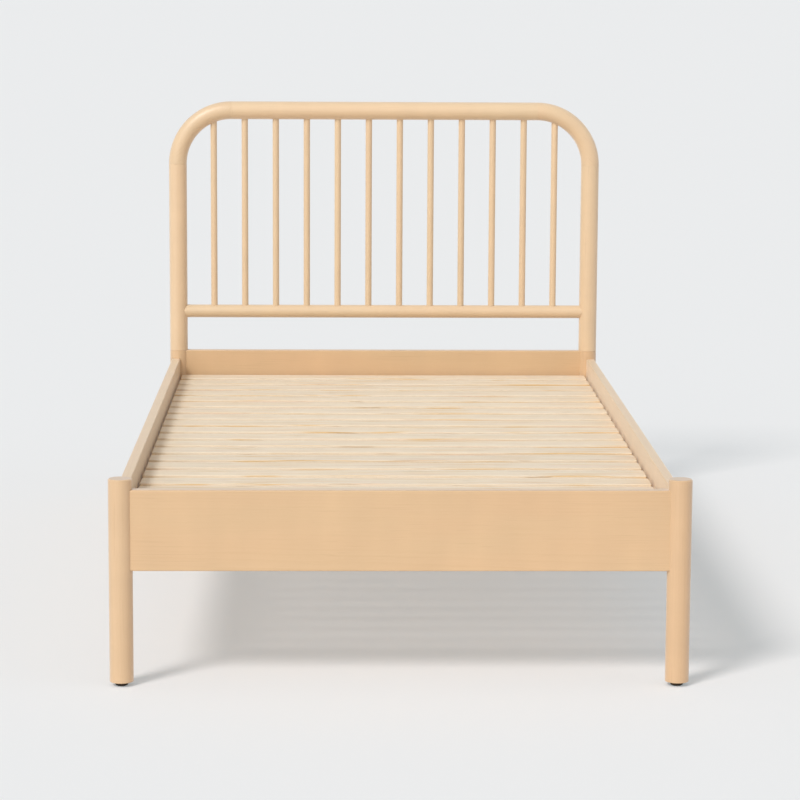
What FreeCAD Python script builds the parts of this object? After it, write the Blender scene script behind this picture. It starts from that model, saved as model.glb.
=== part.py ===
import FreeCAD, Part
import math
import os

# Spindle bed for a 965 x 1905 mattress, in millimetres.
# X runs across the bed, Y from the foot to the head, Z up from the floor.
# The origin is on the floor under the middle of the bed. Left is -X, seen from the foot.

Vector = FreeCAD.Vector

# ---- driving dimensions ----------------------------------------------------------------------
overall_width = 1067.0
overall_length = 1994.0
overall_height = 985.0

post_radius = 22.0
foot_post_top = 386.0
post_top_bevel = 2.0
joint_bevel = 0.8           # each side of the joint between hoop and head leg

end_board_bottom = 216.0
end_board_top = 366.0
end_board_thickness = 24.0
side_rail_top = 346.0
side_rail_thickness = 20.0
side_rail_inner = 508.0     # half of the clear width between the side rails
board_ease = 2.5
groove_floor = 12.0         # distance from a post's axis to the floor of its grooves

hoop_bend_radius = 133.0    # on the centre line of the round bar
spindle_rail_radius = 16.0
spindle_rail_height = 463.5
rail_tenon_radius = 10.0
rail_tenon_depth = 16.0     # into the hoop post, from its inner side
spindle_count = 12
spindle_radius = 8.0
spindle_pitch = 76.8
spindle_socket = 14.0
spindle_head_room = 1.0     # left above a spindle in its upper socket

slat_count = 21
slat_top = 306.0
slat_thickness = 16.0
slat_width = 64.0
slat_run = 1899.0           # from the first slat's front edge to the last one's back edge
slat_end_gap = 5.0
slat_bevel = 1.5
ledge_width = 36.0
ledge_height = 28.0
ledge_length = 1900.0

glide_radius = 12.5
glide_height = 8.0

pin_sides = 8               # flats round the hidden pins, their holes and the spindles' sockets
pocket_sides = 16           # flats round the side rails' pockets, the washers and the glides
bend_sides = 22             # flats round the section of the hoop's bent corners
fit_gap = 0.1               # clearance round every spindle, dowel, tenon and bolt

hoop_dowel = {"radius": 7.0, "straight": 35.0, "bent": 30.0}
hoop_stud = {"radius": 5.0, "down": 25.0, "up": 60.0}
end_dowel = {"radius": 5.0, "depth": 20.0, "heights": (241.0, 331.0)}
rail_dowel = {"radius": 5.0, "depth": 15.0, "height": 311.0}
rail_bolt = {"radius": 4.0, "height": 261.0, "inset": 9.0, "in_post": 22.0, "in_rail": 58.0}
pocket = {"radius": 16.0, "depth": 16.0, "from_end": 50.0}
washer = {"width": 13.0, "flat_back": 5.0, "rim": 15.5, "height": 24.0}
nut = {"across": 12.6, "length": 6.5, "sides": 6}

# ---- places worked out from them -------------------------------------------------------------
post_x = overall_width / 2 - post_radius
post_y = overall_length / 2 - post_radius
hoop_top_line = overall_height - post_radius
bend_height = hoop_top_line - hoop_bend_radius
bend_x = post_x - hoop_bend_radius
bend_inner = hoop_bend_radius - post_radius
end_board_half = post_x - groove_floor
side_rail_half = post_y - groove_floor
side_rail_outer = side_rail_inner + side_rail_thickness
side_rail_middle = side_rail_inner + side_rail_thickness / 2
rail_bolt_x = side_rail_inner + rail_bolt["inset"]
pocket_y = side_rail_half - pocket["from_end"]
slat_pitch = (slat_run - slat_width) / (slat_count - 1)
slat_half = side_rail_inner - slat_end_gap
slat_bottom = slat_top - slat_thickness

across = Vector(1, 0, 0)
along = Vector(0, 1, 0)
up = Vector(0, 0, 1)
sides = {"left": -1, "right": 1}


# ---- forms -----------------------------------------------------------------------------------
def corner_box(low, high):
    return Part.makeBox(high[0] - low[0], high[1] - low[1], high[2] - low[2], Vector(*low))


def peg(radius, length, start, direction):
    return Part.makeCylinder(radius, length, Vector(*start), direction)


def ring_points(radius, count, start, direction):
    """Corners of a regular polygon across the direction, the first one repeated at the end."""
    first = along if direction == up else up
    second = direction.cross(first)
    turns = [2 * math.pi * step / count for step in range(count)]
    ring = [Vector(*start) + first * (radius * math.cos(a)) + second * (radius * math.sin(a)) for a in turns]
    return ring + ring[:1]


def flat_sided(radius, length, start, direction, count=pin_sides):
    """A rod with flat sides, whose corners lie on the given radius."""
    ring = ring_points(radius, count, start, direction)
    return Part.Face(Part.makePolygon(ring)).extrude(direction * length)


def mirrored(shape, side, normal=across):
    """The shape itself on the positive side, or its mirror image on the other."""
    if side > 0:
        return shape
    return shape.mirror(Vector(0, 0, 0), normal)


def four_corners(shape):
    """A solid of the right head corner and its copies at the other three corners."""
    heads = [mirrored(shape, side) for side in sides.values()]
    return heads + [mirrored(head, -1, along) for head in heads]


def long_edges(board):
    longest = max(edge.Length for edge in board.Edges)
    return [edge for edge in board.Edges if edge.Length > longest / 2]


def eased_board(low, high):
    """A board from corner to corner whose long edges are rounded."""
    board = corner_box(low, high)
    return board.makeFillet(board_ease, long_edges(board))


def post_bar(low, high, bevelled_end, bevel):
    """A round bar on the right head post's axis, with the edge of one end bevelled."""
    bar = peg(post_radius, high - low, (post_x, post_y, low), up)
    rim = [edge for edge in bar.Edges if edge.Closed and abs(edge.CenterOfMass.z - bevelled_end) < bevel]
    return bar.makeChamfer(bevel, rim)


def hoop_underside(x):
    """Height of the hoop's underside above a place between the posts."""
    beyond = abs(x) - bend_x
    if beyond <= 0:
        return hoop_top_line - post_radius
    return bend_height + math.sqrt(bend_inner ** 2 - beyond ** 2)


def save(name, *solids):
    shape = solids[0] if len(solids) == 1 else Part.makeCompound(list(solids))
    shape.exportStep(os.path.join("parts", name + ".step"))


# ---- where the joints are --------------------------------------------------------------------
def hoop_dowels(side, gap=0.0):
    """The dowels in the two glued joints of one bent corner."""
    radius = hoop_dowel["radius"] + gap
    length = hoop_dowel["straight"] + hoop_dowel["bent"]
    upright = flat_sided(radius, length, (post_x, post_y, bend_height - hoop_dowel["straight"]), up)
    level = flat_sided(radius, length, (bend_x - hoop_dowel["straight"], post_y, hoop_top_line), across)
    return [mirrored(pin, side) for pin in (upright, level)]


def hoop_stud_pin(side, gap=0.0):
    start = (post_x, post_y, end_board_top - hoop_stud["down"])
    length = hoop_stud["down"] + hoop_stud["up"]
    return mirrored(flat_sided(hoop_stud["radius"] + gap, length, start, up), side)


def end_dowels(gap=0.0):
    """Dowels between the head rail and the right head leg."""
    start = end_board_half - end_dowel["depth"]
    length = 2 * end_dowel["depth"]
    return [flat_sided(end_dowel["radius"] + gap, length, (start, post_y, z), across)
            for z in end_dowel["heights"]]


def rail_dowel_pin(gap=0.0):
    """The dowel between the right side rail and the right head leg."""
    start = (side_rail_middle, side_rail_half - rail_dowel["depth"], rail_dowel["height"])
    return flat_sided(rail_dowel["radius"] + gap, 2 * rail_dowel["depth"], start, along)


def rail_bolt_pin(gap=0.0):
    start = (rail_bolt_x, side_rail_half - rail_bolt["in_rail"], rail_bolt["height"])
    return flat_sided(rail_bolt["radius"] + gap, rail_bolt["in_rail"] + rail_bolt["in_post"], start, along)


def slat_places():
    return [(index - (slat_count - 1) / 2) * slat_pitch for index in range(slat_count)]


def spindle_places():
    return [(index - (spindle_count - 1) / 2) * spindle_pitch for index in range(spindle_count)]


def spindle_foot():
    return spindle_rail_height + spindle_rail_radius - spindle_socket


def socket(x):
    """Clear space for one round spindle, open from the spindle rail up into the hoop."""
    height = hoop_underside(x) + spindle_socket - spindle_foot()
    radius = (spindle_radius + fit_gap) / math.cos(math.pi / pin_sides)
    return flat_sided(radius, height, (x, post_y, spindle_foot()), up)


def rail_tenons(gap=0.0):
    """One rod along the spindle rail that ends inside both hoop posts."""
    half = post_x - post_radius + rail_tenon_depth
    return flat_sided(rail_tenon_radius + gap, 2 * half, (-half, post_y, spindle_rail_height), across)


# ---- headboard -------------------------------------------------------------------------------
def hoop_post(side):
    """Straight upright of the hoop, from the head leg to the bend."""
    bar = mirrored(post_bar(end_board_top, bend_height, end_board_top, joint_bevel), side)
    return bar.cut(hoop_dowels(side, fit_gap) + [hoop_stud_pin(side, fit_gap), rail_tenons(fit_gap)])


def hoop_corner(side):
    """Quarter bend between an upright and the top rail, with the outer spindle's socket."""
    section = Part.makePolygon(ring_points(post_radius, bend_sides, (post_x, post_y, bend_height), up))
    bend = Part.Face(section).revolve(Vector(bend_x, post_y, bend_height), along, -90)
    return mirrored(bend, side).cut(hoop_dowels(side, fit_gap) + [socket(x) for x in outer_spindles()])


def outer_spindles():
    return [x for x in spindle_places() if abs(x) > bend_x]


def hoop_top_rail():
    bar = peg(post_radius, 2 * bend_x, (-bend_x, post_y, hoop_top_line), across)
    holes = [socket(x) for x in spindle_places() if abs(x) < bend_x]
    for side in sides.values():
        holes += hoop_dowels(side, fit_gap)
    return bar.cut(holes)


def spindle_rail():
    """Round rail, hollowed at both ends to sit on the round posts, with a tenon into each."""
    bar = peg(spindle_rail_radius, 2 * post_x, (-post_x, post_y, spindle_rail_height), across)
    posts = [peg(post_radius, overall_height, (side * post_x, post_y, 0), up) for side in sides.values()]
    return bar.cut(posts).fuse(rail_tenons()).removeSplitter().cut([socket(x) for x in spindle_places()])


def spindle(x):
    """Its foot stands on the floor of its socket; its top stops just short of the hoop's."""
    height = hoop_underside(x) + spindle_socket - spindle_head_room - spindle_foot()
    return peg(spindle_radius, height, (x, post_y, spindle_foot()), up)


# ---- legs, boards and rails ------------------------------------------------------------------
def corner_post(top, bevel):
    """Right head post, with the grooves and holes of the end board and the side rail."""
    bar = post_bar(glide_height, top, top, bevel)
    half = end_board_thickness / 2
    cuts = [
        corner_box((end_board_half - post_radius, post_y - half, end_board_bottom),
                   (end_board_half, post_y + half, end_board_top)),
        corner_box((side_rail_inner, side_rail_half - post_radius, end_board_bottom),
                   (side_rail_outer, side_rail_half, side_rail_top)),
        rail_bolt_pin(fit_gap),
        rail_dowel_pin(fit_gap),
    ]
    return bar.cut(cuts + end_dowels(fit_gap))


def head_leg(side):
    leg = mirrored(corner_post(end_board_top, joint_bevel), side)
    return leg.cut([hoop_stud_pin(side, fit_gap)])


def foot_post(side):
    return mirrored(mirrored(corner_post(foot_post_top, post_top_bevel), side), -1, along)


def end_board():
    """Head rail; the footboard is its mirror image."""
    half = end_board_thickness / 2
    board = eased_board((-end_board_half, post_y - half, end_board_bottom),
                        (end_board_half, post_y + half, end_board_top))
    pegs = end_dowels(fit_gap)
    return board.cut(pegs + [mirrored(pin, -1) for pin in pegs])


def side_rail():
    """Right side rail, with a pocket near each end for the bolt's washer and nut."""
    board = eased_board((side_rail_inner, -side_rail_half, end_board_bottom),
                        (side_rail_outer, side_rail_half, side_rail_top))
    pocket_start = (side_rail_inner, pocket_y, rail_bolt["height"])
    head_end = [
        rail_dowel_pin(fit_gap),
        rail_bolt_pin(fit_gap),
        flat_sided(pocket["radius"], pocket["depth"], pocket_start, across, pocket_sides),
    ]
    foot_end = [mirrored(tool, -1, along) for tool in head_end]
    return board.cut(head_end + foot_end)


def slat_ledge():
    """Right ledge, which carries the slats' ends."""
    return corner_box((side_rail_inner - ledge_width, -ledge_length / 2, slat_bottom - ledge_height),
                      (side_rail_inner, ledge_length / 2, slat_bottom))


def slat(y):
    board = corner_box((-slat_half, y - slat_width / 2, slat_bottom),
                       (slat_half, y + slat_width / 2, slat_top))
    return board.makeChamfer(slat_bevel, long_edges(board))


# ---- glides and fasteners --------------------------------------------------------------------
def glide():
    return flat_sided(glide_radius, glide_height, (post_x, post_y, 0), up, pocket_sides)


def half_moon_washer():
    """Bears on the pocket's wall towards the post; the nut bears on its flat side."""
    x = rail_bolt_x - washer["width"] / 2
    start = (x, pocket_y, rail_bolt["height"])
    disc = flat_sided(washer["rim"], washer["width"], start, across, pocket_sides)
    reach = 2 * washer["rim"]
    low = rail_bolt["height"] - washer["height"] / 2
    window = corner_box((x, pocket_y + washer["flat_back"], low),
                        (x + washer["width"], pocket_y + reach, low + washer["height"]))
    return disc.common(window).cut([rail_bolt_pin(fit_gap)])


def hexagon_nut():
    """Its flats are level with the pocket's floor and mouth."""
    start = (rail_bolt_x, pocket_y + washer["flat_back"] - nut["length"], rail_bolt["height"])
    corner = nut["across"] / math.sqrt(3)
    return flat_sided(corner, nut["length"], start, along, nut["sides"]).cut([rail_bolt_pin(fit_gap)])


# ---- the bed ---------------------------------------------------------------------------------
os.makedirs("parts", exist_ok=True)

save("hoop_top_rail", hoop_top_rail())
save("spindle_rail", spindle_rail())
for number, place in enumerate(spindle_places(), 1):
    save(f"spindle_{number:02d}", spindle(place))

save("head_rail", end_board())
save("footboard", mirrored(end_board(), -1, along))
for name, sign in sides.items():
    save(f"hoop_post_{name}", hoop_post(sign))
    save(f"hoop_corner_{name}", hoop_corner(sign))
    save(f"head_leg_{name}", head_leg(sign))
    save(f"foot_post_{name}", foot_post(sign))
    save(f"side_rail_{name}", mirrored(side_rail(), sign))
    save(f"slat_ledge_{name}", mirrored(slat_ledge(), sign))

for number, place in enumerate(slat_places(), 1):
    save(f"slat_{number:02d}", slat(place))

save("glides", *four_corners(glide()))
save("hoop_dowels", *[pin for sign in sides.values() for pin in hoop_dowels(sign)])
save("hoop_studs", *[hoop_stud_pin(sign) for sign in sides.values()])
save("end_board_dowels", *[pin for dowel in end_dowels() for pin in four_corners(dowel)])
save("side_rail_dowels", *four_corners(rail_dowel_pin()))
save("side_rail_bolts", *four_corners(rail_bolt_pin()))
save("side_rail_washers", *four_corners(half_moon_washer()))
save("side_rail_nuts", *four_corners(hexagon_nut()))
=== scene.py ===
import math

import bmesh
import bpy
from mathutils import Matrix, Vector


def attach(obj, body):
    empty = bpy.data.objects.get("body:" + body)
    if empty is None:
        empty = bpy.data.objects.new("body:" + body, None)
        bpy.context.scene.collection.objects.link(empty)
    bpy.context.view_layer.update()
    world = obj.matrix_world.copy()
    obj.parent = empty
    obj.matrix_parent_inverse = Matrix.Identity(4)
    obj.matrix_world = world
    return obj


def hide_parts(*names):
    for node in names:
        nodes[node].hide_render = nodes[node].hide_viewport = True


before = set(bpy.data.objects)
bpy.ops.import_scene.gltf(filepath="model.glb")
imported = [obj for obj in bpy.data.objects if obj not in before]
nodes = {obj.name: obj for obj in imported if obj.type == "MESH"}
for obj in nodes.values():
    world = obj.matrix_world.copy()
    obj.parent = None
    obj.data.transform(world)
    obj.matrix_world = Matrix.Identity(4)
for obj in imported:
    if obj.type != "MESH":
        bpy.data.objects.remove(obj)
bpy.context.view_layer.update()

scene = bpy.context.scene
print("bed frame loaded:", len(nodes), "nodes")

# places that several pieces share, in metres; the bed is the same on both sides
postX, postY = 0.5115, 0.975
hoopTopZ, spindleRailZ, endBoardZ = 0.963, 0.4635, 0.291
sideRailX, sideRailZ = 0.518, 0.281
ledge = {"x": 0.490, "z": 0.276, "innerX": 0.472, "bottomZ": 0.262}
slatZ, slatPitch, spindlePitch = 0.298, 0.09175, 0.0768
corners = [(sideX, sideY) for sideX in (-1, 1) for sideY in (-1, 1)]


# material writing
class Wire:  # one socket of a material; arithmetic on it adds Math nodes
    def __init__(self, maker, socket):
        self.maker = maker
        self.socket = socket

    def other(self, name):  # another output of the same node
        return Wire(self.maker, self.socket.node.outputs[name])

    def reckon(self, operation, first, second):
        return self.maker.node("ShaderNodeMath", {"operation": operation}, {0: first, 1: second})

    def __add__(self, more):
        return self.reckon("ADD", self, more)

    def __sub__(self, less):
        return self.reckon("SUBTRACT", self, less)

    def __rsub__(self, whole):
        return self.reckon("SUBTRACT", whole, self)

    def __mul__(self, times):
        return self.reckon("MULTIPLY", self, times)

    def __truediv__(self, parts):
        return self.reckon("DIVIDE", self, parts)

    def __rtruediv__(self, whole):
        return self.reckon("DIVIDE", whole, self)

    __radd__ = __add__
    __rmul__ = __mul__


class Finish:  # the nodes of one material, or of the world
    def __init__(self, owner):
        self.owner = owner
        owner.use_nodes = True
        self.tree = owner.node_tree
        self.tree.nodes.clear()

    def node(self, kind, settings=None, sockets=None, out=0):
        made = self.tree.nodes.new(kind)
        for name, value in (settings or {}).items():
            setattr(made, name, value)
        for name, value in (sockets or {}).items():
            if isinstance(value, Wire):
                self.tree.links.new(value.socket, made.inputs[name])
            elif made.inputs[name].type == "RGBA":
                made.inputs[name].default_value = (*value, 1.0)
            else:
                made.inputs[name].default_value = value
        return Wire(self, made.outputs[out]) if made.outputs else None

    def only(self, operation, value):  # a Math node with one input
        return self.node("ShaderNodeMath", {"operation": operation}, {0: value})

    def blend(self, share, first, second, way="MIX"):
        settings = {"data_type": "RGBA", "blend_type": way}
        return self.node("ShaderNodeMix", settings, {0: share, 6: first, 7: second}, 2)

    def vector(self, x, y, z):
        return self.node("ShaderNodeCombineXYZ", None, {0: x, 1: y, 2: z})

    def noise(self, place, detail, scale=1.0):
        return self.node("ShaderNodeTexNoise", None, {"Vector": place, "Scale": scale, "Detail": detail})

    def spread(self, value, low, high, toLow=0.0, toHigh=1.0):  # an eased step from low to high
        sockets = {0: value, 1: low, 2: high, 3: toLow, 4: toHigh}
        return self.node("ShaderNodeMapRange", {"interpolation_type": "SMOOTHSTEP"}, sockets)

    def bump(self, height, strength, distance):
        sockets = {"Strength": strength, "Distance": distance, "Height": height}
        return self.node("ShaderNodeBump", None, sockets)

    def surface(self, **sockets):
        named = {name.replace("_", " "): value for name, value in sockets.items()}
        return self.close(self.node("ShaderNodeBsdfPrincipled", None, named))

    def close(self, shader):
        last = "ShaderNodeOutputWorld" if self.owner == scene.world else "ShaderNodeOutputMaterial"
        self.node(last, None, {"Surface": shader})
        return self.owner


# wood: lengths in metres, colours linear, depths as shares of the darker colour
boardBirch = {
    "pale": (0.655, 0.452, 0.258), "deep": (0.530, 0.330, 0.158), "flush": (0.655, 0.425, 0.240),
    "streak": (0.580, 0.370, 0.185), "blush": (0.650, 0.410, 0.250), "mark": (0.360, 0.200, 0.090),
    "ringWidth": 0.0052, "ringDepth": 0.13, "wobble": 0.012, "heart": (0.045, -0.085), "lean": 0.030,
    "fibreDepth": 0.16, "softGrain": 0.16, "poreDepth": 0.20, "flushDepth": 0.60, "figure": 0.14,
    "streakDepth": 0.10, "dashDepth": 0.10, "knotDepth": 0.28, "endDepth": 0.20,
    "gloss": 0.42, "glossDrift": 0.10, "relief": 0.22, "coat": 0.35, "coatRough": 0.38, "sheen": 0.60,
}
# bars: partly a paler stock and partly painted sheen; the round bars get paler, less saturated base colours
# than the boards, standing in for the sheen that whitens them
barBirchPartlyPaintedSheen = dict(
    boardBirch, pale=(0.722, 0.540, 0.342), deep=(0.592, 0.400, 0.215), flush=(0.722, 0.510, 0.320),
    streak=(0.632, 0.430, 0.240), blush=(0.700, 0.485, 0.303), figure=0.10, knotDepth=0.0,
)
legBirch = dict(boardBirch, pale=(0.675, 0.472, 0.282), figure=0.10, knotDepth=0.0)
# side rails: a paler copy of the birch, painted sheen and light; the brighter base colour stands in for the
# grazing reflection and key light that make the rails' tops and inner faces look pale
railBirchPaintedSheen = dict(
    boardBirch, pale=(0.745, 0.528, 0.290), deep=(0.600, 0.388, 0.178), flush=(0.745, 0.500, 0.272),
    streak=(0.655, 0.420, 0.195), blush=(0.735, 0.466, 0.262), coat=0.28, sheen=0.50,
)
pine = {
    "pale": (0.850, 0.735, 0.575), "deep": (0.730, 0.535, 0.300), "flush": (0.855, 0.710, 0.525),
    "streak": (0.740, 0.490, 0.215), "blush": (0.780, 0.560, 0.410), "mark": (0.420, 0.250, 0.110),
    "ringWidth": 0.0066, "ringDepth": 0.46, "wobble": 0.026, "heart": (0.020, -0.045), "lean": 0.055,
    "fibreDepth": 0.14, "softGrain": 0.20, "poreDepth": 0.06, "flushDepth": 0.50, "figure": 0.06,
    "streakDepth": 0.90, "dashDepth": 0.60, "knotDepth": 0.45, "endDepth": 0.18,
    "gloss": 0.60, "glossDrift": 0.10, "relief": 0.36, "coat": 0.0, "coatRough": 0.38, "sheen": 0.25,
}

# patterns in the wood. cells: how many in a metre along the grain, across it and through it; apart: how far
# a stick's own chances move the pattern, along and across; fade: where it starts to show and where it is full
patterns = {
    "slow": {"cells": (1.1, 7.0, 7.0), "apart": (20.0, 9.0), "detail": 3.0},
    "bold": {"cells": (0.7, 22.0, 22.0), "apart": (31.0, 0), "detail": 1.0, "fade": (0.35, 0.72)},
    "fibre": {"cells": (35.0, 1300.0, 1300.0), "apart": (0, 0), "detail": 2.0},
    "soft": {"cells": (5.0, 210.0, 210.0), "apart": (13.0, 0), "detail": 3.0},
    "pore": {"cells": (110.0, 2600.0, 2600.0), "apart": (7.0, 0), "detail": 1.0, "fade": (0.62, 0.74)},
    "figure": {"cells": (15.0, 5.0, 5.0), "apart": (5.0, 0), "detail": 1.5},
    "patch": {"cells": (1.6, 9.0, 9.0), "apart": (17.0, 3.0), "detail": 2.0, "fade": (0.35, 0.70)},
    "wave": {"cells": (4.5, 5.0, 5.0), "apart": (11.0, 0), "detail": 1.0},
    "streak": {"cells": (3.6, 190.0, 260.0), "apart": (41.0, 0), "detail": 1.0, "fade": (0.56, 0.72)},
    "blush": {"cells": (3.4, 110.0, 160.0), "apart": (29.0, 5.0), "detail": 1.0, "fade": (0.56, 0.74)},
    "dash": {"cells": (7.0, 330.0, 420.0), "apart": (23.0, 0), "detail": 0.0, "fade": (0.70, 0.80)},
    "knot": {"cells": (2.7, 15.0, 15.0), "apart": (7.0, 1.0), "size": (0.015, 0.055), "kept": (0.80, 0.82)},
}
growth = {
    "chanceStep": 3.7, "heartWander": 4.0, "heartLeast": 0.6, "heartMore": 0.8, "ringEnd": (0.95, 1.0),
    "leastRing": 0.25, "fibreMean": 0.35, "softMean": 0.40, "waveWidth": 0.016, "waveThrough": 0.5,
    "blushShare": 0.6, "endGrain": (0.55, 0.90), "stickShade": 0.05, "patchShade": 0.08,
    "fibreRelief": 0.5, "poreRelief": 0.6, "ringRelief": 0.4, "dashRelief": 0.5, "reliefHeight": 0.0002,
    "ringRough": 0.05, "softRough": 0.08, "sheenRough": 0.4,
}


def grainFrame(finish, runs):  # places along the grain, across it and through it, and how squarely it ends
    place = finish.node("ShaderNodeTexCoord", None, None, "Object")
    facing = finish.node("ShaderNodeSeparateXYZ", None, {0: place.other("Normal")})
    x = finish.node("ShaderNodeSeparateXYZ", None, {0: place})
    y, z = x.other(1), x.other(2)
    if runs == "across":
        return x, y, z, facing * facing
    if runs == "along":
        return y, x, z, facing.other(1) * facing.other(1)
    if runs == "upright":
        return z, x, y, facing.other(2) * facing.other(2)
    sign = 1.0 if runs == "leftBend" else -1.0
    diagonal = math.sqrt(0.5)
    return (x * sign + z) * diagonal, (x * sign - z) * diagonal, y, None


# centre: where the stick's middle is, across and through the grain; pitch: for a row of like sticks
def woodFinish(name, wood, runs, centre=(0.0, 0.0), pitch=0.0, shift=0.0, seed=0.0):
    finish = Finish(bpy.data.materials.new(name))
    u, v, w, endOn = grainFrame(finish, runs)
    if pitch:
        stick = finish.only("FLOOR", v / pitch + shift)
        v = v - (stick - shift + 0.5) * pitch
    else:
        stick = finish.only("SIGN", v)
        v = v - stick * centre[0]
    w = w - finish.only("SIGN", w) * centre[1]
    ownSeed = stick * growth["chanceStep"] + seed
    chance = finish.node("ShaderNodeTexWhiteNoise", {"noise_dimensions": "1D"}, {"W": ownSeed}, "Color")
    chanceA = finish.node("ShaderNodeSeparateColor", None, {0: chance})
    chanceB, chanceC = chanceA.other(1), chanceA.other(2)

    def spot(name, first=1.0, second=1.0, across=v, through=w):  # a place among a pattern's cells
        cells, apart = patterns[name]["cells"], patterns[name]["apart"]
        alongCells, acrossCells = u * cells[0], across * cells[1]
        if apart[0]:
            alongCells = alongCells + first * apart[0]
        if apart[1]:
            acrossCells = acrossCells + second * apart[1]
        return finish.vector(alongCells, acrossCells, through * cells[2])

    def pattern(name, *chances, **places):
        return finish.noise(spot(name, *chances, **places), patterns[name]["detail"])

    def faded(name, value):
        return finish.spread(value, *patterns[name]["fade"])

    # growth rings round a heart that leans a little
    slow = pattern("slow", chanceA, chanceB)
    heartAcross, heartBelow = wood["heart"]
    besideHeart = v - (chanceA - 0.5) * (growth["heartWander"] * heartAcross)
    besideHeart = besideHeart - u * ((chanceC - 0.5) * wood["lean"])
    belowHeart = w - heartBelow * (chanceB * growth["heartMore"] + growth["heartLeast"])
    reach = finish.only("SQRT", besideHeart * besideHeart + belowHeart * belowHeart)
    reach = reach + (slow - 0.5) * wood["wobble"]
    ring = finish.only("FRACT", reach / wood["ringWidth"])
    bold = finish.spread(pattern("bold", chanceC), *patterns["bold"]["fade"], growth["leastRing"], 1.0)
    late = ring * ring * ring * finish.spread(ring, *growth["ringEnd"], 1.0, 0.0) * bold

    # fibre, soft streaks, pores, figure and colour patches
    fibre = pattern("fibre")
    soft = pattern("soft", chanceA)
    pore = faded("pore", pattern("pore"))
    figure = pattern("figure", chanceB)
    patch = pattern("patch", chanceB)

    # long wavy streaks, short dashes and pin knots
    wave = v + (pattern("wave", chanceC) - 0.5) * growth["waveWidth"]
    wavy = {"across": wave, "through": w + (wave - v) * growth["waveThrough"]}
    streak = faded("streak", pattern("streak", chanceA, **wavy))
    blush = faded("blush", pattern("blush", chanceB, **wavy))
    dash = faded("dash", pattern("dash", chanceC, **wavy))
    sockets = {"Vector": spot("knot", chanceB, chanceC), "Scale": 1.0}
    knot = finish.node("ShaderNodeTexVoronoi", None, sockets, "Distance")
    knotKept = finish.node("ShaderNodeSeparateColor", None, {0: knot.other("Color")})
    knotKept = finish.spread(knotKept, *patterns["knot"]["kept"])
    knot = finish.spread(knot, *patterns["knot"]["size"], 1.0, 0.0) * knotKept

    colour = finish.blend(faded("patch", patch) * wood["flushDepth"], wood["pale"], wood["flush"])
    dark = late * wood["ringDepth"] + (fibre - growth["fibreMean"]) * wood["fibreDepth"]
    dark = dark + (soft - growth["softMean"]) * wood["softGrain"] + pore * wood["poreDepth"]
    colour = finish.blend(dark, colour, wood["deep"])
    colour = finish.blend(blush * (wood["streakDepth"] * growth["blushShare"]), colour, wood["blush"])
    colour = finish.blend(streak * wood["streakDepth"], colour, wood["streak"])
    brown = dash * wood["dashDepth"] + knot * wood["knotDepth"]
    if endOn:
        brown = brown + finish.spread(endOn, *growth["endGrain"]) * wood["endDepth"]
    colour = finish.blend(brown, colour, wood["mark"])
    shade = (chanceC - 0.5) * growth["stickShade"] + (patch - 0.5) * growth["patchShade"]
    shade = shade + (figure - 0.5) * wood["figure"] + 1.0
    grey = finish.node("ShaderNodeCombineColor", None, {0: shade, 1: shade, 2: shade})
    colour = finish.blend(1.0, colour, grey, "MULTIPLY")
    relief = fibre * growth["fibreRelief"] - pore * growth["poreRelief"]
    relief = relief - late * growth["ringRelief"] - dash * growth["dashRelief"]
    rough = (fibre - 0.5) * wood["glossDrift"] + late * growth["ringRough"]
    return finish.surface(
        Base_Color=colour,
        Roughness=rough + (soft - 0.5) * growth["softRough"] + wood["gloss"],
        Normal=finish.bump(relief, wood["relief"], growth["reliefHeight"]),
        Coat_Weight=wood["coat"],
        Coat_Roughness=wood["coatRough"],
        Sheen_Weight=wood["sheen"],
        Sheen_Roughness=growth["sheenRough"],
    )


plastic = {
    "dark": (0.040, 0.024, 0.011), "scuffed": (0.066, 0.043, 0.024), "scuffAt": (0.45, 0.70),
    "specks": 900.0, "scuffs": 120.0, "rough": 0.45, "roughMore": 0.3, "specular": 0.3, "relief": 0.3,
    "reliefHeight": 0.0002,
}
zinc = {
    "dull": (0.50, 0.50, 0.49), "bright": (0.68, 0.67, 0.64), "clouds": 260.0, "flakes": 1400.0,
    "rough": 0.25, "roughMore": 0.25, "relief": 0.15, "reliefHeight": 0.0001,
}


def glidePlastic():
    finish = Finish(bpy.data.materials.new("glidePlastic"))
    here = finish.node("ShaderNodeTexCoord", None, None, "Object")
    speck = finish.noise(here, 3.0, plastic["specks"])
    scuff = finish.noise(here, 4.0, plastic["scuffs"])
    colour = finish.blend(finish.spread(scuff, *plastic["scuffAt"]), plastic["dark"], plastic["scuffed"])
    return finish.surface(
        Base_Color=colour,
        Roughness=scuff * plastic["roughMore"] + plastic["rough"],
        Specular_IOR_Level=plastic["specular"],
        Normal=finish.bump(speck, plastic["relief"], plastic["reliefHeight"]),
    )


def zincSteel():
    finish = Finish(bpy.data.materials.new("zincSteel"))
    here = finish.node("ShaderNodeTexCoord", None, None, "Object")
    cloud = finish.noise(here, 4.0, zinc["clouds"])
    sockets = {"Vector": here, "Scale": zinc["flakes"]}
    flake = finish.node("ShaderNodeTexVoronoi", None, sockets, "Distance")
    return finish.surface(
        Base_Color=finish.blend(cloud, zinc["dull"], zinc["bright"]),
        Metallic=1.0,
        Roughness=cloud * zinc["roughMore"] + zinc["rough"],
        Normal=finish.bump(flake, zinc["relief"], zinc["reliefHeight"]),
    )


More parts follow.
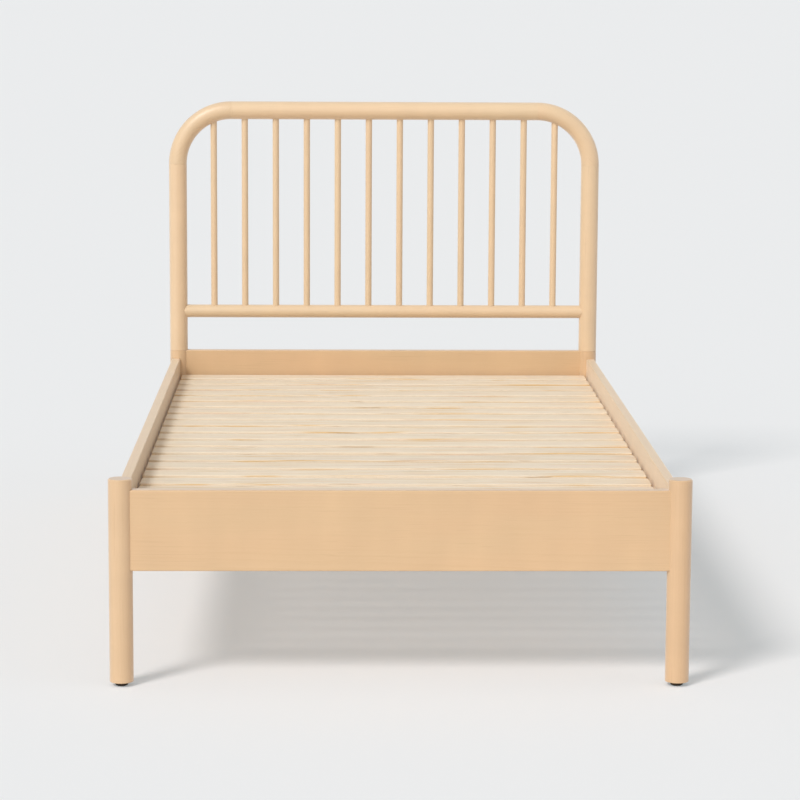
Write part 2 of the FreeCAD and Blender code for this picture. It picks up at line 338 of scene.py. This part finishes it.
finishes = {
    "topRail": woodFinish("hoopBirchTop", barBirchPartlyPaintedSheen, "across", (postY, hoopTopZ), seed=1.0),
    "spindleRail": woodFinish("spindleRailBirch", barBirchPartlyPaintedSheen, "across", (postY, spindleRailZ), seed=12.0),
    "hoopPost": woodFinish("hoopBirchUpright", barBirchPartlyPaintedSheen, "upright", (postX, postY), seed=2.0),
    "leftBend": woodFinish("hoopBirchLeftBend", barBirchPartlyPaintedSheen, "leftBend", (0.0, postY), seed=3.0),
    "rightBend": woodFinish("hoopBirchRightBend", barBirchPartlyPaintedSheen, "rightBend", (0.0, postY), seed=4.0),
    "spindle": woodFinish("spindleBirch", barBirchPartlyPaintedSheen, "upright", (0.0, postY), spindlePitch, seed=5.0),
    "leg": woodFinish("legBirch", legBirch, "upright", (postX, postY), seed=6.0),
    "endBoard": woodFinish("endBoardBirch", boardBirch, "across", (postY, endBoardZ), seed=7.0),
    "sideRail": woodFinish("sideRailBirchPaintedSheen", railBirchPaintedSheen, "along", (sideRailX, sideRailZ), seed=8.0),
    "ledge": woodFinish("ledgePine", pine, "along", (ledge["x"], ledge["z"]), seed=9.0),
    "slat": woodFinish("slatPine", pine, "across", (0.0, slatZ), slatPitch, shift=0.5, seed=10.0),
    "dowel": woodFinish("dowelBirch", barBirchPartlyPaintedSheen, "across", seed=11.0),
    "glide": glidePlastic(),
    "steel": zincSteel(),
}
finishByName = {  # by how a node's name starts; the longest that fits is used
    "hoop_top_rail": "topRail", "spindle_rail": "spindleRail", "hoop_post": "hoopPost",
    "hoop_corner_left": "leftBend", "hoop_corner_right": "rightBend", "spindle_": "spindle",
    "head_leg": "leg", "foot_post": "leg", "head_rail": "endBoard", "footboard": "endBoard",
    "side_rail_left": "sideRail", "side_rail_right": "sideRail", "slat_ledge": "ledge", "slat_": "slat",
    "hoop_dowels": "dowel", "end_board_dowels": "dowel", "side_rail_dowels": "dowel", "glides": "glide",
    "hoop_studs": "steel", "side_rail_bolts": "steel", "side_rail_washers": "steel",
    "side_rail_nuts": "steel",
}
for nodeName, cadObject in nodes.items():
    longest = max((start for start in finishByName if nodeName.startswith(start)), key=len)
    for materialSlot in cadObject.material_slots:
        materialSlot.link = "OBJECT"
        materialSlot.material = finishes[finishByName[longest]]
print("finishes made:", len(finishes))


# mesh making
xAxis, yAxis, zAxis = Vector((1, 0, 0)), Vector((0, 1, 0)), Vector((0, 0, 1))


def ringRound(centre, first, second, radius, count):  # a circle of points in the plane of two directions
    turns = [2 * math.pi * step / count for step in range(count)]
    return [centre + first * (radius * math.cos(turn)) + second * (radius * math.sin(turn)) for turn in turns]


def skinOver(shape, rings, closed=False):  # quads from ring to ring, and a cap at each open end
    rows = [[shape.verts.new(point) for point in ring] for ring in rings]
    pairs = list(zip(rows, rows[1:])) + ([(rows[-1], rows[0])] if closed else [])
    for near, far in pairs:
        for step in range(len(near)):
            shape.faces.new((near[step - 1], near[step], far[step], far[step - 1]))
    if not closed:
        shape.faces.new(rows[0])
        shape.faces.new(rows[-1][::-1])


def crossways(axis, twist=0.0):  # two directions square to an axis and to each other
    first = axis.orthogonal().normalized()
    second = axis.cross(first)
    cosine, sine = math.cos(twist), math.sin(twist)
    return first * cosine + second * sine, second * cosine - first * sine


def turnedRings(base, axis, profile, count, twist=0.0):  # profile: (distance along the axis, radius)
    first, second = crossways(axis, twist)
    return [ringRound(base + axis * far, first, second, radius, count) for far, radius in profile]


def finishPiece(name, shape, finish, slotName, *stoodFor):
    bmesh.ops.recalc_face_normals(shape, faces=shape.faces)
    mesh = bpy.data.meshes.new(name)
    shape.to_mesh(mesh)
    shape.free()
    mesh.polygons.foreach_set("use_smooth", [True] * len(mesh.polygons))
    piece = bpy.data.objects.new(name, mesh)
    scene.collection.objects.link(piece)
    mesh.materials.append(finishes[finish])
    even = piece.modifiers.new("evenNormals", "WEIGHTED_NORMAL")
    even.weight = 60
    even.keep_sharp = True
    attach(piece, "root")
    if stoodFor:
        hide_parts(*stoodFor)


# bent corners of the hoop
bend = {"radius": 0.133, "bar": 0.022, "steps": 36, "around": 64, "ease": 0.0004, "height": 0.830}


def bentCorner(side, label):
    shape = bmesh.new()
    centre = Vector((side * (postX - bend["radius"]), postY, bend["height"]))
    slip = bend["ease"] / bend["radius"]
    quarter = math.pi / 2
    step = (quarter - 2 * slip) / bend["steps"]
    stations = [(0.0, bend["bar"] - bend["ease"])]
    stations += [(slip + step * number, bend["bar"]) for number in range(bend["steps"] + 1)]
    stations += [(quarter, bend["bar"] - bend["ease"])]
    rings = []
    for turn, radius in stations:
        outward = Vector((side * math.cos(turn), 0, math.sin(turn)))
        rings.append(ringRound(centre + outward * bend["radius"], outward, yAxis, radius, bend["around"]))
    skinOver(shape, rings)
    finishPiece(f"bent_corner_{label}", shape, f"{label}Bend", "hoop_wood", f"hoop_corner_{label}")


bentCorner(-1, "left")
bentCorner(1, "right")
print("bent corners made")

# slats: soft edges and a slight natural bow, each a little different
slat = {
    "count": 21, "half": 0.503, "width": 0.064, "thick": 0.016, "soft": 0.0020, "endSoft": 0.0012,
    "stations": 24, "cornerSteps": 4, "bow": 0.0007, "swayTurn": 2.4, "sagTurn": 1.7,
}


def slatSection(shrink):  # rounded rectangle, as (place across the slat, height)
    soft = slat["soft"]
    across = slat["width"] / 2 - shrink - soft
    deep = slat["thick"] / 2 - shrink - soft
    points = []
    for turn, (signAcross, signUp) in enumerate(((1, 1), (-1, 1), (-1, -1), (1, -1))):
        for step in range(slat["cornerSteps"] + 1):
            angle = (turn + step / slat["cornerSteps"]) * math.pi / 2
            y = signAcross * across + soft * math.cos(angle)
            points.append((y, signUp * deep + soft * math.sin(angle)))
    return points


def softSlat(number):
    shape = bmesh.new()
    place = (number - (slat["count"] + 1) / 2) * slatPitch
    sway = math.sin(number * slat["swayTurn"]) * slat["bow"]
    sag = slat["bow"] * (1 + math.cos(number * slat["sagTurn"])) / 2
    straight = slat["half"] - slat["endSoft"]
    ends = slatSection(slat["endSoft"])
    rings = [[Vector((-slat["half"], place + y, slatZ + z)) for y, z in ends]]
    for station in range(slat["stations"]):
        share = station / (slat["stations"] - 1)
        bow = 4 * share * (1 - share)
        x = -straight + share * 2 * straight
        rings.append([Vector((x, place + y + sway * bow, slatZ + z - sag * bow)) for y, z in slatSection(0)])
    rings.append([Vector((slat["half"], place + y, slatZ + z)) for y, z in ends])
    skinOver(shape, rings)
    finishPiece(f"soft_slat_{number:02d}", shape, "slat", "slat_pine", f"slat_{number:02d}")


for number in range(1, slat["count"] + 1):
    softSlat(number)
print("slats made:", slat["count"])

# glides: a moulded foot that narrows to the floor, with a nail in its middle
glide = {
    "foot": [
        (0.0020, 0.0042), (0.0004, 0.0046), (0.0, 0.0053), (0.0, 0.0090), (0.0005, 0.0101),
        (0.0016, 0.0112), (0.0032, 0.0121), (0.0050, 0.0125), (0.0077, 0.0125), (0.0080, 0.0122),
    ],
    "nail": [
        (0.0070, 0.0009), (0.0020, 0.0010), (0.0019, 0.0035), (0.0014, 0.0036), (0.0009, 0.0028),
        (0.0007, 0.0012),
    ],
    "around": 48,
}


def fourGlides(pieceName, part, finishName, slotName, *stoodFor):
    shape = bmesh.new()
    for sideX, sideY in corners:
        base = Vector((sideX * postX, sideY * postY, 0))
        skinOver(shape, turnedRings(base, zAxis, glide[part], glide["around"]))
    finishPiece(pieceName, shape, finishName, slotName, *stoodFor)


fourGlides("moulded_glides", "foot", "glide", "glide_plastic", "glides")
fourGlides("glide_nails", "nail", "steel", "zinc_steel")
print("glides made")

# screws: pan heads with a cross recess; dome: (height, share of the head's radius)
screw = {
    "head": 0.0038, "rise": 0.0025,
    "dome": [(0.0, 0.97), (0.0003, 1.0), (0.0010, 0.98), (0.0017, 0.88), (0.0022, 0.75), (0.0025, 0.62)],
    "shank": 0.0018, "tip": 0.0003, "taper": 0.006, "around": 24,
    "arm": 0.0021, "armHalf": 0.00042, "deep": 0.0014, "floorArm": 0.6, "floorHalf": 0.8,
    "slatLength": 0.040, "slatTwist": 1.3, "ledgeLength": 0.050, "ledgeTwist": 2.1, "ledgeCount": 7,
    "ledgeEvery": 3, "ledgeBack": 0.02,
}


def crossRing(centre, first, second, arm, half):
    inside = (arm + half) / 2
    quarter = [(arm, 0), (arm, half), (inside, half), (half, half), (half, inside), (half, arm)]
    points = []
    for turn in range(4):
        points += [centre + first * a + second * b for a, b in quarter]
        first, second = second, -first
    return points


def panScrew(shape, seat, outward, length, twist):
    shank = [(-length, screw["tip"]), (screw["taper"] - length, screw["shank"]), (0.0, screw["shank"])]
    dome = [(height, screw["head"] * share) for height, share in screw["dome"]]
    rings = turnedRings(seat, outward, shank + dome, screw["around"], twist)
    first, second = crossways(outward, twist)
    rings.append(crossRing(seat + outward * screw["rise"], first, second, screw["arm"], screw["armHalf"]))
    floor = seat + outward * (screw["rise"] - screw["deep"])
    floorArm, floorHalf = screw["arm"] * screw["floorArm"], screw["armHalf"] * screw["floorHalf"]
    rings.append(crossRing(floor, first, second, floorArm, floorHalf))
    skinOver(shape, rings)


shape = bmesh.new()
for number in range(slat["count"]):
    for side in (-1, 1):
        y = (number - (slat["count"] - 1) / 2) * slatPitch
        seat = Vector((side * ledge["x"], y, ledge["bottomZ"]))
        panScrew(shape, seat, -zAxis, screw["slatLength"], number * screw["slatTwist"] + side)
finishPiece("slat_screws", shape, "steel", "zinc_steel")
shape = bmesh.new()
for number in range(screw["ledgeCount"]):
    for side in (-1, 1):
        slatsAlong = (number - (screw["ledgeCount"] - 1) / 2) * screw["ledgeEvery"] + 0.5
        y = slatsAlong * slatPitch - screw["ledgeBack"]
        seat = Vector((side * ledge["innerX"], y, ledge["z"]))
        panScrew(shape, seat, xAxis * -side, screw["ledgeLength"], number * screw["ledgeTwist"] + side)
finishPiece("ledge_screws", shape, "steel", "zinc_steel")
print("screws made")

# side rail fastenings: a threaded rod, a half-moon washer and a nut in each pocket
fastening = {"x": 0.517, "z": 0.261, "pocketY": 0.913}
rod = {
    "from": 0.905, "to": 0.985, "radius": 0.00395, "pitch": 0.00125, "deep": 0.00062, "around": 20,
    "ringsPerThread": 4, "endShare": 0.85, "endTaper": 0.002,
}
nut = {
    "from": 0.9115, "to": 0.9180, "across": 0.0126, "bevel": 0.0006, "hole": 0.0040, "faceShare": 0.97,
    "around": 24,
}
washer = {"half": 0.0065, "rim": 0.0155, "high": 0.012, "soft": 0.0005, "flat": 0.005, "steps": 24}


def threadedRod(shape, sideX, sideY):
    length = rod["to"] - rod["from"]
    stations = round(rod["ringsPerThread"] * length / rod["pitch"])
    rings = []
    for station in range(stations + 1):
        along = length * station / stations
        centre = Vector((sideX * fastening["x"], sideY * (rod["from"] + along), fastening["z"]))
        fromEnd = min(along, length - along)
        full = min(1.0, 0.5 + fromEnd / rod["endTaper"])
        taper = rod["endShare"] + (1 - rod["endShare"]) * full
        points = []
        for step in range(rod["around"]):
            share = step / rod["around"]
            phase = (along / rod["pitch"] + share) % 1
            radius = (rod["radius"] - rod["deep"] * abs(2 * phase - 1)) * taper
            turn = 2 * math.pi * share
            points.append(centre + xAxis * (radius * math.cos(turn)) + zAxis * (radius * math.sin(turn)))
        rings.append(points)
    skinOver(shape, rings)


def hexRing(centre, corner, count):  # its corners point up and down
    points = []
    for step in range(count):
        side, part = divmod(step * 6 / count, 1)
        near, far = side * math.pi / 3, (side + 1) * math.pi / 3
        up = (1 - part) * math.cos(near) + part * math.cos(far)
        out = (1 - part) * math.sin(near) + part * math.sin(far)
        points.append(centre + zAxis * (corner * up) + xAxis * (corner * out))
    return points


def hexNut(shape, sideX, sideY):
    corner = nut["across"] / math.sqrt(3)
    face = nut["across"] / 2 * nut["faceShare"]
    low, high, bevel = nut["from"], nut["to"], nut["bevel"]
    rings = []
    for y, hexed, radius in (
        (low, False, nut["hole"]), (low, False, face), (low + bevel, True, corner),
        (high - bevel, True, corner), (high, False, face), (high, False, nut["hole"]),
    ):
        centre = Vector((sideX * fastening["x"], sideY * y, fastening["z"]))
        if hexed:
            rings.append(hexRing(centre, radius, nut["around"]))
        else:
            rings.append(ringRound(centre, zAxis, xAxis, radius, nut["around"]))
    skinOver(shape, rings, closed=True)


def halfMoon(shape, sideX, sideY):
    high, flat = washer["high"], washer["flat"]
    widest = math.asin(high / washer["rim"])
    turns = [widest - 2 * widest * step / washer["steps"] for step in range(washer["steps"] + 1)]
    rings = []
    for end, soft in ((-1, washer["soft"]), (-1, 0), (1, 0), (1, washer["soft"])):
        away = end * (washer["half"] - (0 if soft else washer["soft"]))
        rim = washer["rim"] - soft
        outline = [(rim * math.cos(turn), rim * math.sin(turn)) for turn in turns]
        outline += [(flat + soft, -high + soft), (flat + soft, 0.0), (flat + soft, high - soft)]
        x = sideX * (fastening["x"] + away)
        rings.append([
            Vector((x, sideY * (fastening["pocketY"] + y), fastening["z"] + z)) for y, z in outline
        ])
    skinOver(shape, rings)


for pieceName, maker, stoodFor in (
    ("threaded_rods", threadedRod, "side_rail_bolts"),
    ("hex_nuts", hexNut, "side_rail_nuts"),
    ("half_moon_washers", halfMoon, "side_rail_washers"),
):
    shape = bmesh.new()
    for sideX, sideY in corners:
        maker(shape, sideX, sideY)
    finishPiece(pieceName, shape, "steel", "zinc_steel", stoodFor)
print("side rail fastenings made")

# camera: turn, down and lean in radians
view = {
    "place": (-0.11795, -6.04805, 1.29013), "turn": 0.02279, "down": 0.1485, "lean": 0.00511,
    "lens": 127.16, "sensor": 36.0, "farthest": 1000.0,
}
level = math.cos(view["down"])
forward = Vector((math.sin(view["turn"]) * level, math.cos(view["turn"]) * level, -math.sin(view["down"])))
rightward = Vector((math.cos(view["turn"]), -math.sin(view["turn"]), 0))
upward = rightward.cross(forward)
cameraX = rightward * math.cos(view["lean"]) + upward * math.sin(view["lean"])
cameraY = upward * math.cos(view["lean"]) - rightward * math.sin(view["lean"])
cameraData = bpy.data.cameras.new("camera")
cameraData.sensor_width = view["sensor"]
cameraData.lens = view["lens"]
cameraData.clip_end = view["farthest"]
camera = bpy.data.objects.new("camera", cameraData)
axes = Matrix((cameraX, cameraY, -forward)).transposed().to_4x4()
camera.matrix_world = Matrix.Translation(view["place"]) @ axes
scene.collection.objects.link(camera)
scene.camera = camera

# light: share is a lamp's part of all the light on the open floor; fill is the backdrop's part
lamps = {
    "keyLamp": {"travels": (0.68, 0.84, -1.0), "soft": 0.28, "share": 0.40},
    "lowLamp": {"travels": (0.50, 1.00, -0.30), "soft": 0.90, "share": 0.055},
    "sideLamp": {"travels": (-1.0, 0.35, -0.45), "soft": 0.90, "share": 0.03},
}
studio = {
    "fill": 0.45, "backdrop": (0.8388, 0.8388, 0.8388), "floor": (0.938, 0.880, 0.852),
    "floorGlow": (0.665, 0.885, 1.000), "glowShare": 0.24, "floorReach": 200.0,
}
for name, lampPlan in lamps.items():
    travels = Vector(lampPlan["travels"]).normalized()
    lampData = bpy.data.lights.new(name, "SUN")
    lampData.energy = lampPlan["share"] * math.pi / -travels.z
    lampData.angle = lampPlan["soft"]
    lamp = bpy.data.objects.new(name, lampData)
    lamp.rotation_mode = "QUATERNION"
    lamp.rotation_quaternion = travels.to_track_quat("-Z", "Y")
    scene.collection.objects.link(lamp)


def seenRay(finish):  # 1 where the camera, a gloss or a clear piece looks, 0 where light is gathered
    ray = finish.node("ShaderNodeLightPath", None, None, "Is Camera Ray")
    return ray + ray.other("Is Glossy Ray") + ray.other("Is Transmission Ray")


# the backdrop is pale where it is seen, and lights the bed with the fill alone
scene.world = bpy.data.worlds.new("paleStudio")
backdrop = Finish(scene.world)
fill = backdrop.node("ShaderNodeBackground", None, {"Color": (1, 1, 1), "Strength": studio["fill"]})
seen = backdrop.node("ShaderNodeBackground", None, {"Color": studio["backdrop"], "Strength": 1.0})
backdrop.close(backdrop.node("ShaderNodeMixShader", None, {0: seenRay(backdrop), 1: fill, 2: seen}))

# the floor keeps the bed's shadow; part of its seen paleness is its own, so the shadow stays light
floorPaint = Finish(bpy.data.materials.new("floorPaint"))
paint = floorPaint.node("ShaderNodeBsdfDiffuse", None, {"Color": studio["floor"]})
glow = floorPaint.node("ShaderNodeEmission", None, {"Color": studio["floorGlow"], "Strength": 1.0})
glowing = seenRay(floorPaint) * studio["glowShare"]
floorPaint.close(floorPaint.node("ShaderNodeMixShader", None, {0: glowing, 1: paint, 2: glow}))
reach = studio["floorReach"]
floorCorners = [(-reach, -reach, 0), (reach, -reach, 0), (reach, reach, 0), (-reach, reach, 0)]
floorMesh = bpy.data.meshes.new("floor")
floorMesh.from_pydata(floorCorners, [], [(0, 1, 2, 3)])
floorMesh.materials.append(floorPaint.owner)
floorSheet = bpy.data.objects.new("floor", floorMesh)
scene.collection.objects.link(floorSheet)
print("camera, light and floor set")

scene.view_settings.view_transform = "Standard"
